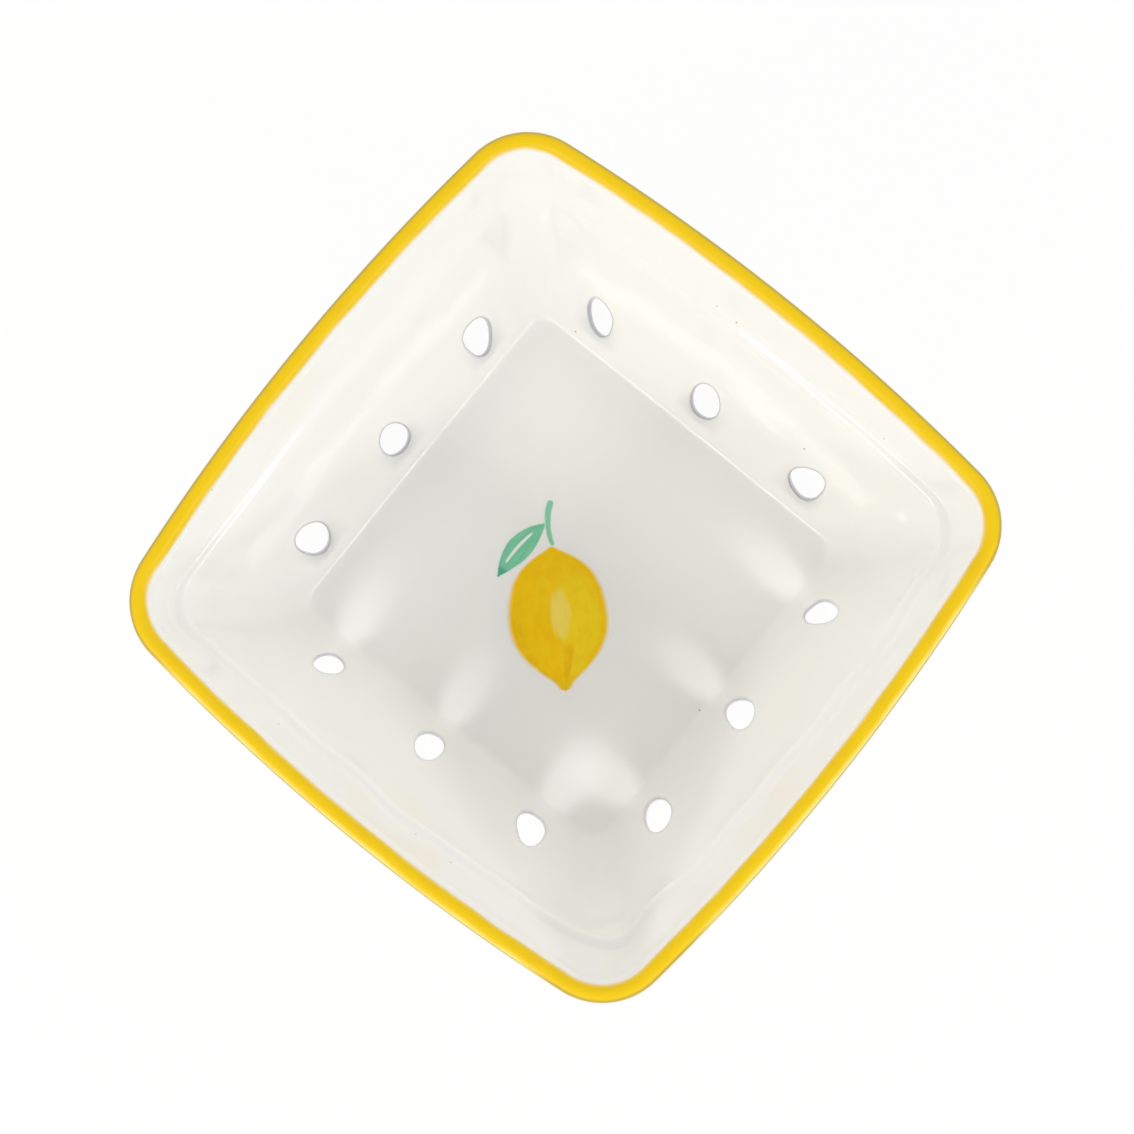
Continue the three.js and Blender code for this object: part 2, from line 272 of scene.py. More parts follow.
# Drain holes, three at the foot of each wall. Values in fours are those of the +X, +Y, -X and -Y walls.
DRAIN_RADIUS = 0.0033
DRAIN_PITCH = 0.0287
DRAIN_SET_OUT = 0.0066
DRAIN_BRIM = 0.001
DRAIN_LEAN = np.radians((16, 16, 8, 8))
DRAIN_SPREAD = (1.12, 1.12, 1.0, 1.0)

# No hole is cut quite like the next. For the three of each wall: how far it sits aside of its place, its
# size, how much it is drawn out to an oval, and the oval's direction, in degrees round from outwards.
DRAIN_CUTS = (
    ((0.0006, 1.07, 0.075, 126), (0.0003, 1.0, 0.04, 36), (0.0011, 0.97, 0.25, 44)),
    ((0.0009, 1.0, 0.14, -42), (0.0011, 1.0, 0.04, -30), (0.0005, 1.04, 0.0, 0)),
    ((0.0007, 0.85, 0.16, 116), (0.0003, 1.0, 0.0, 0), (0.0, 1.03, 0.09, 36)),
    ((0.0002, 1.0, 0.10, -38), (-0.0002, 1.03, 0.03, -52), (-0.0007, 0.96, 0.155, 44)),
)
FACE_START = 0.0001
mid_wall = bezier(*wall_profile(WALL_THICKNESS / 2), CURVE_POINTS)
drain_reach = FLOOR_HALF + DRAIN_SET_OUT
drain_height = np.interp(drain_reach, mid_wall[:, 0], mid_wall[:, 1])
inner_face = profile[:crest][profile[:crest, 1] > FLOOR + FACE_START]
outer_face = profile[crest:][profile[crest:, 1] > UNDERSIDE + FACE_START][::-1]


def face_reach(face, y, z):
    """How far out a wall's face lies at the place y along it and the height z: its half width at that height,
    less what the bow of the side takes off there."""
    half = np.interp(z, face[:, 1], face[:, 0])
    side = plan_radii(half, z)[0]
    return half - side + np.sqrt(side**2 - y**2)


def bore_axes(lean):
    """Unit vectors down a bore that leans out by an angle, outwards across it and sideways across it."""
    return np.array([[np.sin(lean), 0, -np.cos(lean)], [np.cos(lean), 0, np.sin(lean)], [0, 1, 0]])


NEWTON_STEPS = 12
NUDGE = 0.0001


def on_face(face, middle, axes, radius, angle):
    """Points of a wall's face seen along the bore at a radius and angle round its axis, found by Newton's
    steps down the bore until the point's reach is the face's."""
    down, outwards, sideways = axes
    start = middle + (radius * np.cos(angle))[..., None] * outwards
    start = start + (radius * np.sin(angle))[..., None] * sideways
    depth = np.zeros_like(radius)
    for _ in range(NEWTON_STEPS):
        x, y, z = np.moveaxis(start + depth[..., None] * down, -1, 0)
        miss = x - face_reach(face, y, z)
        rise = face_reach(face, y, z + NUDGE) - face_reach(face, y, z - NUDGE)
        depth -= miss / (down[0] - rise / (2 * NUDGE) * down[2])
    return start + depth[..., None] * down


FLAT_RINGS = 7
SHRINK_POWER = 1.2
BRIM_RINGS = 7
BORE_RINGS = 4
CUT_WAVES = (0.02, 0.07)
CUT_SIZES = (0.96, 1.04)


def drain_tube(middle, axes, spread, oval, inner_edge, outer_edge, hand):
    """Rings that carry the inner wall's face through one drain hole to the outer face. From the block's edge
    the rings shrink along the face to the brim, turn down it by a quarter circle, follow the bore, and do the
    same in reverse outside. The bore is an oval, given by how much it is drawn out and the direction, with
    two slight waves round it, as a hand-cut hole has."""
    edges = [(edge - middle) @ axes[1:].T for edge in (inner_edge, outer_edge)]
    edge_radius = [np.hypot(*edge.T) for edge in edges]
    edge_angle = [np.arctan2(edge[:, 1], edge[:, 0]) for edge in edges]
    angle = edge_angle[0] + within_half_turn(edge_angle[1] - edge_angle[0]) / 2
    waves, phases = hand.uniform(*CUT_WAVES, 2), hand.uniform(0, 2 * np.pi, 2)
    wavy = 1 + waves[0] * np.cos(2 * angle + phases[0]) + waves[1] * np.cos(3 * angle + phases[1])
    drawn_out, oval_turn = oval
    long = np.cos(angle - oval_turn) / (1 + drawn_out)
    short = np.sin(angle - oval_turn) / (1 - drawn_out)
    radius = DRAIN_RADIUS * spread * hand.uniform(*CUT_SIZES) * wavy / np.hypot(long, short)
    shrink = 1 - (1 - np.arange(1, FLAT_RINGS + 1) / FLAT_RINGS)[:, None] ** SHRINK_POWER
    turn = np.linspace(0, np.pi / 2, BRIM_RINGS + 1)[1:, None]
    halves = []
    for face, side_radius, side_angle, down in (
        (inner_face, edge_radius[0], edge_angle[0], 1),
        (outer_face, edge_radius[1], edge_angle[1], -1),
    ):
        shrunk = side_radius + (radius + DRAIN_BRIM - side_radius) * shrink
        swing = side_angle + within_half_turn(angle - side_angle) * shrink
        flat_rings = on_face(face, middle, axes, shrunk, swing)
        brim_radius = radius + DRAIN_BRIM * (1 - np.sin(turn))
        brim = on_face(face, middle, axes, brim_radius, np.broadcast_to(angle, brim_radius.shape))
        brim = brim + (down * DRAIN_BRIM * (1 - np.cos(turn)))[..., None] * axes[0]
        halves.append(np.concatenate([flat_rings, brim]))
    deep = np.linspace(0, 1, BORE_RINGS + 2)[1:-1, None, None]
    bore = halves[0][-1] * (1 - deep) + halves[1][-1] * deep
    return np.concatenate([halves[0], bore, halves[1][::-1]])


def block_edge(row_low, row_high, column, columns):
    """Grid indices round a block, from its lower left corner: along the foot, up, back along the top and
    down."""
    step = 1 if row_high > row_low else -1
    rows = np.arange(row_low, row_high + step, step)
    cols = np.arange(column, column + columns + 1)
    up = len(rows) - 1
    ring_rows = np.r_[np.full(columns, row_low), rows[:-1], np.full(columns, row_high), rows[:0:-1]]
    ring_cols = np.r_[cols[:-1], np.full(up, cols[-1]), cols[:0:-1], np.full(up, cols[0])]
    return ring_rows, ring_cols


def quarter_turn(quarter):
    """Matrix that turns a plan by a number of quarter turns, anticlockwise."""
    return np.linalg.matrix_power(np.array([[0, -1], [1, 0]]), quarter)


# Each hole replaces a block of the grid inside and one outside by its tube. A blue-grey painted shade fills
# the bore, less of it lies on the brims, least on those of the -X and -Y walls, and a little lies on the
# floor side of the +X and +Y walls' holes.
BLOCK_COLUMNS = 14
BLOCK_ROWS = 16
BRIM_START = FLAT_RINGS - 1
BRIM_END = FLAT_RINGS + BRIM_RINGS - 1
BRIM_PAINTED_SHADE = (0.8, 0.8, 0.15, 0.15)
BRIM_FADE = 1.5
FLOOR_SIDE_PAINTED_SHADE = (0.3, 0.3, 0.0, 0.0)
FLOOR_SIDE_FADE = 2
HAND_SEED = 7
keep = np.ones((ROWS - 1, COLUMNS), bool)
points = [grid.reshape(-1, 3)]
tube_faces = []
hole_shade_weight = [np.zeros(ROWS * COLUMNS)]
hand = np.random.default_rng(HAND_SEED)
grid_index = np.arange(ROWS * COLUMNS).reshape(ROWS, COLUMNS)
brim_ends = np.array([np.pi, 0.0])
for quarter in range(4):
    axes = bore_axes(DRAIN_LEAN[quarter])
    first_column = quarter * QUARTER_COLUMNS
    for place, (aside, size, drawn_out, oval_turn) in zip((-1, 0, 1), DRAIN_CUTS[quarter]):
        y = place * DRAIN_PITCH + aside
        middle = np.array([drain_reach, y, drain_height])
        edges = []
        for face, rows_up in ((inner_face, True), (outer_face, False)):
            brim = on_face(face, middle, axes, np.full(2, DRAIN_RADIUS + DRAIN_BRIM), brim_ends)
            wall_rows = np.arange(body_crest) if rows_up else np.arange(body_crest, ROWS)
            centre_row = wall_rows[np.argmin(np.abs(body_heights[wall_rows] - brim[:, 2].mean()))]
            first = centre_row - BLOCK_ROWS // 2
            row_low, row_high = (first, first + BLOCK_ROWS) if rows_up else (first + BLOCK_ROWS, first)
            side_y = grid[centre_row, :SIDE_COLUMNS, 1]
            column = int(np.argmin(np.abs(side_y - y))) - BLOCK_COLUMNS // 2
            edges.append(block_edge(row_low, row_high, column, BLOCK_COLUMNS))
            block_columns = (np.arange(column, column + BLOCK_COLUMNS) + first_column) % COLUMNS
            keep[np.ix_(np.arange(first, first + BLOCK_ROWS), block_columns)] = False
        inner_edge, outer_edge = (grid[rows, cols] for rows, cols in edges)
        oval = (drawn_out, np.radians(oval_turn))
        rings = drain_tube(middle, axes, DRAIN_SPREAD[quarter] * size, oval, inner_edge, outer_edge, hand)
        sideways = (rings - middle) @ axes[1:].T
        floor_side = (1 - sideways[..., 0] / np.linalg.norm(sideways, axis=2)) / 2
        rings[..., :2] = rings[..., :2] @ quarter_turn(quarter).T
        count = sum(len(block) for block in points)
        tube_index = count + np.arange(rings.shape[0] * rings.shape[1]).reshape(rings.shape[:2])
        inner_index, outer_index = (grid_index[rows, (cols + first_column) % COLUMNS] for rows, cols in edges)
        ring_index = np.vstack([inner_index, tube_index, outer_index])
        after = np.roll(ring_index, -1, 1)
        quads = np.stack([ring_index[:-1], ring_index[1:], after[1:], after[:-1]], 2)
        tube_faces.append(quads.reshape(-1, 4))
        points.append(rings.reshape(-1, 3))
        ring_number = np.arange(len(rings))
        from_face = np.minimum(ring_number, ring_number[::-1])
        # Painted shade in the glaze: full in the bore, fading out over the brim, and on the floor side of the
        # hole.
        on_brim = BRIM_PAINTED_SHADE[quarter] * smooth(BRIM_START, BRIM_END, from_face) ** BRIM_FADE
        in_bore = np.where(from_face < BRIM_END, on_brim, 1)
        near_brim = smooth(-1, BRIM_START + 1, ring_number) * (ring_number <= BRIM_END)
        towards_floor = FLOOR_SIDE_PAINTED_SHADE[quarter] * near_brim[:, None] * floor_side**FLOOR_SIDE_FADE
        hole_shade_weight.append(np.maximum(in_bore[:, None], towards_floor).reshape(-1))

next_column = np.roll(grid_index, -1, 1)
wall_faces = np.stack([grid_index[:-1], grid_index[1:], next_column[1:], next_column[:-1]], 2)[keep]
count = sum(len(block) for block in points)
points.append(np.array([[0, 0, FLOOR], [0, 0, UNDERSIDE]]))
hole_shade_weight.append(np.zeros(2))
pole_faces = [
    np.stack([np.full(COLUMNS, count), grid_index[0], next_column[0]], 1),
    np.stack([np.full(COLUMNS, count + 1), next_column[-1], grid_index[-1]], 1),
]

EDGE_ANGLE = np.radians(60)


def mesh_piece(name, points, faces, **weights):
    """A piece at the origin from arrays of points and of faces, without the points that no face uses, smooth
    all over, with one named number for each point where a finish needs it."""
    used = np.unique(np.concatenate([block.reshape(-1) for block in faces]))
    place = np.zeros(len(points), int)
    place[used] = np.arange(len(used))
    corners = np.concatenate([place[block].reshape(-1) for block in faces])
    sizes = np.concatenate([np.full(len(block), block.shape[1]) for block in faces])
    mesh = bpy.data.meshes.new(name)
    mesh.vertices.add(len(used))
    mesh.vertices.foreach_set("co", np.asarray(points)[used].astype(np.float32).reshape(-1))
    mesh.loops.add(len(corners))
    mesh.loops.foreach_set("vertex_index", corners.astype(np.int32))
    mesh.polygons.add(len(sizes))
    mesh.polygons.foreach_set("loop_start", np.r_[0, np.cumsum(sizes)[:-1]].astype(np.int32))
    mesh.polygons.foreach_set("use_smooth", np.ones(len(sizes), bool))
    mesh.update(calc_edges=True)
    mesh.set_sharp_from_angle(angle=EDGE_ANGLE)
    for key, values in weights.items():
        layer = mesh.attributes.new(key, "FLOAT", "POINT")
        layer.data.foreach_set("value", np.asarray(values)[used].astype(np.float32))
    piece = bpy.data.objects.new(name, mesh)
    bpy.context.scene.collection.objects.link(piece)
    return piece


class Field:
    """A shader value that takes part in Python arithmetic: each operator adds one Math node."""

    def __init__(self, tree, socket):
        """The value that a socket of a node tree gives out."""
        self.tree = tree
        self.socket = socket

    def node(self, kind, sockets, settings=None, out=0):
        """What one output of a new node gives: its settings come first, then the values or links of its
        sockets. Sockets and the output go by name, or by number where names repeat."""
        made = self.tree.nodes.new(kind)
        for key, value in (settings or {}).items():
            setattr(made, key, value)
        for key, value in sockets.items():
            if isinstance(value, Field):
                self.tree.links.new(value.socket, made.inputs[key])
            else:
                made.inputs[key].default_value = value
        return Field(self.tree, made.outputs[out])

    def math(self, operation, first, second):
        """The operation's result on two values, each a field or a number."""
        return self.node("ShaderNodeMath", {0: first, 1: second}, {"operation": operation})

    def __add__(self, other):
        """This value plus the other."""
        return self.math("ADD", self, other)

    def __sub__(self, other):
        """This value less the other."""
        return self.math("SUBTRACT", self, other)

    def __rsub__(self, other):
        """The other less this value."""
        return self.math("SUBTRACT", other, self)

    def __mul__(self, other):
        """This value times the other."""
        return self.math("MULTIPLY", self, other)

    __radd__ = __add__
    __rmul__ = __mul__

    def ramp(self, low, high):
        """0 where the value is below low, 1 above high, and a smooth S between."""
        settings = {"interpolation_type": "SMOOTHSTEP", "clamp": True}
        return self.node("ShaderNodeMapRange", {0: self, 1: low, 2: high, 3: 0.0, 4: 1.0}, settings)

    def band(self, rise, full, fade, gone):
        """1 where the value lies between full and fade, 0 below rise and above gone: one ramp up times one
        ramp down."""
        return self.ramp(rise, full) * (1 - self.ramp(fade, gone))

    def mix(self, start, end):
        """The colour that lies this share of the way from start to end."""
        first, second = (shade if isinstance(shade, Field) else (*shade, 1) for shade in (start, end))
        return self.node("ShaderNodeMix", {0: self, 6: first, 7: second}, {"data_type": "RGBA"}, 2)


def new_finish(name):
    """An empty material, with the piece's own coordinates and its output node."""
    material = bpy.data.materials.new(name)
    material.use_nodes = True
    material.node_tree.nodes.clear()
    start = Field(material.node_tree, None)
    coordinates = start.node("ShaderNodeTexCoord", {}, out="Object")
    output = material.node_tree.nodes.new("ShaderNodeOutputMaterial")
    return material, coordinates, output


def weight(coordinates, name):
    """The number that a piece's points carry under that name."""
    return coordinates.node("ShaderNodeAttribute", {}, {"attribute_name": name}, "Fac")


def noise(coordinates, scale, detail=2.0):
    """Cloudy noise with features of 1 / scale metres."""
    return coordinates.node("ShaderNodeTexNoise", {"Vector": coordinates, "Scale": scale, "Detail": detail})


GLAZE_WHITE = (0.85, 0.845, 0.825)
GLAZE_THIN = (0.87, 0.85, 0.80)
GLAZE_SPECK = (0.30, 0.24, 0.18)
# Blue-grey painted shade for the drain holes.
PAINTED_HOLE_SHADE = (0.29, 0.31, 0.355)
CLOUD_SCALE = 45.0
CLOUD_RANGE = (0.35, 0.7)
CLOUD_DEPTH = 0.25
SPECK_SCALE = 210.0
SPECK_LOT = (0.90, 0.91)
SPECK_EDGE = (0.03, 0.07)
SPECK_DEPTH = 0.7


def white_glaze(coordinates, hole_shade=None):
    """Colour of the white glaze: faint clouds where it lies thicker or thinner, a blue-grey painted shade in
    and round the drain holes, and a few tiny iron specks, one in some of the cells of a point pattern."""
    clouds = noise(coordinates, CLOUD_SCALE).ramp(*CLOUD_RANGE)
    colour = (clouds * CLOUD_DEPTH).mix(GLAZE_WHITE, GLAZE_THIN)
    if hole_shade is not None:
        colour = hole_shade.mix(colour, PAINTED_HOLE_SHADE)
    cells = {"Vector": coordinates, "Scale": SPECK_SCALE}
    nearest = coordinates.node("ShaderNodeTexVoronoi", cells)
    lot = coordinates.node("ShaderNodeTexVoronoi", cells, out="Color")
    drawn = lot.node("ShaderNodeSeparateColor", {0: lot}).ramp(*SPECK_LOT)
    speck = (1 - nearest.ramp(*SPECK_EDGE)) * drawn
    return (speck * SPECK_DEPTH).mix(colour, GLAZE_SPECK)


RIPPLE_SCALE = 70.0
RIPPLE_HEIGHT = 0.0012
RIPPLE_STRENGTH = 0.22
DIMPLE_SCALE = 420.0
DIMPLE_SHARE = 0.06
GLOSS_ROUGHNESS = 0.05
SMEAR_SCALE = 160.0
SMEAR_RANGE = (0.3, 0.8)
SMEAR_ROUGHNESS = 0.08
GLAZE_IOR = 1.52


def glaze_finish(coordinates, output, colour, dull=0.0, shine=0.5):
    """Fired gloss over a colour: smooth, with slow ripples and a fine dimple in the surface. A dull glaze is
    rougher by that much, and a glaze that is poor in glass shines less."""
    ripples = noise(coordinates, RIPPLE_SCALE, 1.0) + noise(coordinates, DIMPLE_SCALE, 2.0) * DIMPLE_SHARE
    bump = {"Strength": RIPPLE_STRENGTH, "Distance": RIPPLE_HEIGHT, "Height": ripples}
    normal = coordinates.node("ShaderNodeBump", bump)
    gloss = GLOSS_ROUGHNESS + noise(coordinates, SMEAR_SCALE).ramp(*SMEAR_RANGE) * SMEAR_ROUGHNESS + dull
    surface = {
        "Base Color": colour,
        "Roughness": gloss,
        "IOR": GLAZE_IOR,
        "Specular IOR Level": shine,
        "Normal": normal,
    }
    shader = coordinates.node("ShaderNodeBsdfPrincipled", surface)
    coordinates.tree.links.new(shader.socket, output.inputs["Surface"])


body = mesh_piece(
    "bowl_body_glazed",
    np.concatenate(points),
    [wall_faces, *tube_faces, *pole_faces],
    bore=np.concatenate(hole_shade_weight),
)
white_material, coordinates, output = new_finish("white_glaze")
# The bore weight carries the painted shade of the drain holes into the white glaze.
glaze_finish(coordinates, output, white_glaze(coordinates, weight(coordinates, "bore")))
body.data.materials.append(white_material)
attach(body, "root")
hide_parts("bowl_body")


# Rim band: a coat of yellow glaze brushed over the lip after the white dip. It is thickest on the crest, and
# its edges run out thin into the white, a little unevenly where the brush lifted.
COAT_BULGE = 0.00017
COAT_EDGE = 0.00003
COAT_STEP = 0.0004
COAT_BEND_ROWS = 9.0
BACK_STEP = 0.0012
BACK_BEND_ROWS = 5.0


def loop_faces(grid):
    """Quads of a closed loop that is carried once round: each point, the next along and the next round."""
    index = np.arange(grid.shape[0] * COLUMNS).reshape(-1, COLUMNS)
    along, beside = np.roll(index, -1, 0), np.roll(index, -1, 1)
    return np.stack([index, along, np.roll(along, -1, 1), beside], 2).reshape(-1, 4)


coat_zone = np.flatnonzero((from_crest > -COAT_INSIDE) & (from_crest < COAT_OUTSIDE))
coat_path = profile[coat_zone]
coat_run = from_crest[coat_zone]
full_coat = smooth(-COAT_INSIDE, -COAT_INSIDE + 2 * COAT_FEATHER, coat_run)
full_coat *= 1 - smooth(COAT_OUTSIDE - 2 * COAT_FEATHER, COAT_OUTSIDE, coat_run)
coat_skin = coat_path + square_to(coat_path) * (COAT_BULGE * full_coat - COAT_EDGE)[:, None]
coat_back = clay_profile[coat_zone] - square_to(coat_path) * (2 * COAT_EDGE * (1 - full_coat))[:, None]
coat_rows = rows_by_bend(coat_path, COAT_STEP, COAT_BEND_ROWS)
back_rows = rows_by_bend(coat_path, BACK_STEP, BACK_BEND_ROWS)[::-1]
coat_halves, coat_heights = np.vstack([at_rows(coat_skin, coat_rows), at_rows(coat_back, back_rows)]).T
coat_grid = swept(coat_halves, coat_heights, *plan_radii(coat_halves, coat_heights))
coat_across = np.interp(np.r_[coat_rows, back_rows], np.arange(len(coat_run)), coat_run)
rim = mesh_piece(
    "rim_band_brushed",
    coat_grid.reshape(-1, 3),
    [loop_faces(coat_grid)],
    across=np.repeat(coat_across, COLUMNS),
)

# Colours and limits across the coat, in metres from the crest: the paint's soft edges, brush streaks, yellow
# deepening towards the outside, a painted shade in olive on the outer edge, and on the two sides that face
# the windows instead a pale stripe of thin yellow with a painted highlight, beside a finer line of painted
# shade.
YELLOW_BRIGHT = (0.80, 0.535, 0.003)
YELLOW_DEEP = (0.77, 0.485, 0.003)
YELLOW_EDGE_SHADE = (0.38, 0.30, 0.04)
YELLOW_THIN_AND_HIGHLIGHT = (0.84, 0.71, 0.20)
PAINT_INSIDE = -0.0024
PAINT_OUTSIDE = 0.0058
PAINT_SOFT = 0.0020
PAINT_SCALE = 90.0
PAINT_WANDER = 0.0014
STREAK_SCALE = 130.0
STREAK_RANGE = (0.45, 0.75)
STREAK_DEPTH = 0.5
DEEPER_RANGE = (0.0, 0.004)
DEEPER_DEPTH = 0.35
EDGE_SHADE_BAND = (0.0007, 0.0016, 0.0017, 0.0026)
EDGE_SHADE_DEPTH = 0.8
WINDOW_SIDE_REACH = (0.060, 0.064)
WINDOW_SIDE_ALONG_Y = (-0.052, -0.040, 0.040, 0.055)
WINDOW_SIDE_ALONG_X = (-0.045, -0.030, 0.040, 0.055)
PALE_STRIPE_START = (0.0004, 0.0017)
SHADE_LINE = (0.0014, 0.0021, 0.0022, 0.0031)
RIM_DULL = 0.28
RIM_SHINE = 0.2
yellow_material, coordinates, output = new_finish("yellow_glaze")
across = weight(coordinates, "across")
edge = across + (noise(coordinates, PAINT_SCALE, 1.0) - 0.5) * PAINT_WANDER
painted = edge.band(
    PAINT_INSIDE - PAINT_SOFT / 2,
    PAINT_INSIDE + PAINT_SOFT / 2,
    PAINT_OUTSIDE - PAINT_SOFT / 2,
    PAINT_OUTSIDE + PAINT_SOFT / 2,
)
streaks = noise(coordinates, STREAK_SCALE, 3.0).ramp(*STREAK_RANGE) * STREAK_DEPTH
yellow = (streaks + across.ramp(*DEEPER_RANGE) * DEEPER_DEPTH).mix(YELLOW_BRIGHT, YELLOW_DEEP)
x, y = (coordinates.node("ShaderNodeSeparateXYZ", {0: coordinates}, out=axis) for axis in ("X", "Y"))
# The -X and -Y sides, which face the windows, where the rim gets its pale stripe and finer line.
left_window_side = (0 - x).ramp(*WINDOW_SIDE_REACH) * y.band(*WINDOW_SIDE_ALONG_Y)
right_window_side = (0 - y).ramp(*WINDOW_SIDE_REACH) * x.band(*WINDOW_SIDE_ALONG_X)
thin = left_window_side + right_window_side
# Painted shade in olive on the outer edge, left off the -X and -Y sides.
yellow = (across.band(*EDGE_SHADE_BAND) * EDGE_SHADE_DEPTH * (1 - thin)).mix(yellow, YELLOW_EDGE_SHADE)
# Pale stripe on the -X and -Y sides: thin yellow with a painted highlight.
yellow = (edge.ramp(*PALE_STRIPE_START) * thin).mix(yellow, YELLOW_THIN_AND_HIGHLIGHT)
# A finer line of painted shade outside the pale stripe on those two sides.
yellow = (across.band(*SHADE_LINE) * thin).mix(yellow, YELLOW_EDGE_SHADE)
glaze_finish(coordinates, output, painted.mix(white_glaze(coordinates), yellow), RIM_DULL, RIM_SHINE)
rim.data.materials.append(yellow_material)
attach(rim, "root")
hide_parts("rim_band")


# Foot ring: a low square ring of the same clay, luted under the floor while both are damp. It is wiped clean
# of glaze before firing and ground flat afterwards, so it stays matt and gritty.
FOOT_BREADTH = 0.0045
FOOT_CORNER = 0.008
FOOT_SOFTNESS = 0.0003
FOOT_STEP = 0.0012
FOOT_BEND_ROWS = 4.0
foot_half = foot_high.x
foot_sharp = np.array(
    [
        [foot_half - FOOT_BREADTH, UNDERSIDE],
        [foot_half, UNDERSIDE],
        [foot_half, 0.0],
        [foot_half - FOOT_BREADTH, 0.0],
        [foot_half - FOOT_BREADTH, UNDERSIDE],
    ]
)
foot_path = softened(foot_sharp, FOOT_SOFTNESS)
foot_halves, foot_heights = at_rows(foot_path, rows_by_bend(foot_path, FOOT_STEP, FOOT_BEND_ROWS)[:-1]).T
foot_side = np.full(len(foot_halves), 1 / STATION_BOW[0])
foot_grid = swept(foot_halves, foot_heights, foot_side, FOOT_CORNER + foot_halves - foot_half)
foot = mesh_piece("foot_ring_bisque", foot_grid.reshape(-1, 3), [loop_faces(foot_grid)])

CLAY_LIGHT = (0.66, 0.56, 0.42)
CLAY_DARK = (0.50, 0.40, 0.28)
CLAY_SCALE = 120.0
CLAY_RANGE = (0.3, 0.75)
CLAY_ROUGHNESS = 0.75
GRIT_SCALE = 2200.0
GRIT_HEIGHT = 0.0003
GRIT_STRENGTH = 0.5
GRIT_ROUGHNESS = 0.2
clay_material, coordinates, output = new_finish("bare_clay")
grit = noise(coordinates, GRIT_SCALE, 3.0)
clay = noise(coordinates, CLAY_SCALE, 3.0).ramp(*CLAY_RANGE).mix(CLAY_LIGHT, CLAY_DARK)
bump = {"Strength": GRIT_STRENGTH, "Distance": GRIT_HEIGHT, "Height": grit}
normal = coordinates.node("ShaderNodeBump", bump)
surface = {"Base Color": clay, "Roughness": CLAY_ROUGHNESS + grit * GRIT_ROUGHNESS, "Normal": normal}
shader = coordinates.node("ShaderNodeBsdfPrincipled", surface)
coordinates.tree.links.new(shader.socket, output.inputs["Surface"])
foot.data.materials.append(clay_material)
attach(foot, "root")
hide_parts("foot_ring")


# Painted fruit: a lemon brushed on the floor in yellow enamel and fired on, a thin layer with soft edges. Its
# colour pools at one side, at the tip and in blots, and thins to a paler patch in the middle.
MOTIF_TURN = np.radians(-45)
STROKE_STEP = 0.00028
LEAST_ACROSS = 9
LAYER_FOOT = 0.000005
LAYER_EDGE = 0.00002
LAYER_BODY = 0.00006
LAYER_SLOPE = 0.0008
motif_centre = np.array((fruit_low + fruit_high) / 2)[:2]
turn_cos, turn_sin = np.cos(MOTIF_TURN), np.sin(MOTIF_TURN)
motif_turn = np.array([[turn_cos, -turn_sin], [turn_sin, turn_cos]])


def painted_layer(name, line, half_width, margin, order):
    """A closed thin layer on the floor, as a brush leaves it: a grid of steps along a line and across it, out
    to the stroke's half width and a bare margin. The skin rises from the margin to the stroke's body. Each
    point carries its share of the way along, its place across in half widths, and how deep inside the stroke
    it lies, with both ends rounded off by the stroke's own width. A later stroke lies a little higher."""
    length = np.r_[0, np.cumsum(np.hypot(*np.diff(line, axis=0).T))]
    run = np.linspace(-margin, length[-1] + margin, int(length[-1] / STROKE_STEP))
    place = np.stack([np.interp(run, length, line[:, k]) for k in (0, 1)], 1)
    way = np.gradient(line, axis=0)
    way = np.stack([np.interp(run, length, way[:, k]) for k in (0, 1)], 1)
    way /= np.linalg.norm(way, axis=1)[:, None]
    place += way * (run - np.clip(run, 0, length[-1]))[:, None]
    half = np.interp(run, length, half_width)
    width = half + margin
    share = np.linspace(-1, 1, max(LEAST_ACROSS, int(2 * width.max() / STROKE_STEP)))
    offset = width[:, None] * share
    flat = place[:, None] + offset[..., None] * np.stack([way[:, 1], -way[:, 0]], 1)[:, None]
    end_width = np.where(run < length[-1] / 2, half_width[0], half_width[-1])
    past = np.maximum(end_width - np.minimum(run, length[-1] - run), 0)
    inside = half[:, None] - np.hypot(offset, past[:, None])
    across = offset / np.maximum(half, STROKE_STEP)[:, None]
    along = np.broadcast_to((run / length[-1])[:, None], across.shape)
    rise = LAYER_EDGE * order + LAYER_BODY * smooth(0, LAYER_SLOPE, inside)
    flat = flat @ motif_turn.T + motif_centre
    top = np.concatenate([flat, (FLOOR + rise)[..., None]], 2)
    under = np.concatenate([flat, np.full_like(rise, FLOOR + LAYER_FOOT)[..., None]], 2)
    index = np.arange(across.size).reshape(across.shape)
    cells = np.stack([index[:-1, :-1], index[:-1, 1:], index[1:, 1:], index[1:, :-1]], 2).reshape(-1, 4)
    rim_loop = np.r_[index[0, :-1], index[:-1, -1], index[-1, :0:-1], index[:0:-1, 0]]
    rim_next = np.roll(rim_loop, -1)
    skirt = np.stack([rim_loop, rim_loop + across.size, rim_next + across.size, rim_next], 1)
    faces = [cells, cells[:, ::-1] + across.size, skirt]
    points = np.concatenate([top.reshape(-1, 3), under.reshape(-1, 3)])
    weights = {"along": along, "across": across, "inside": inside}
    both_sides = {key: np.tile(values.reshape(-1), 2) for key, values in weights.items()}
    return mesh_piece(name, points, faces, **both_sides)


def brushed(coordinates, along_scale, across_scale):
    """Streaks of brush hairs: noise drawn out along the stroke."""
    hairs = {0: weight(coordinates, "across") * across_scale, 1: weight(coordinates, "along") * along_scale}
    return noise(coordinates.node("ShaderNodeCombineXYZ", hairs), 1.0, 3.0)


ENAMEL_SCALE = 500.0
ENAMEL_WANDER = 0.0003
ENAMEL_DULL = 0.05
ENAMEL_SHINE = 0.1


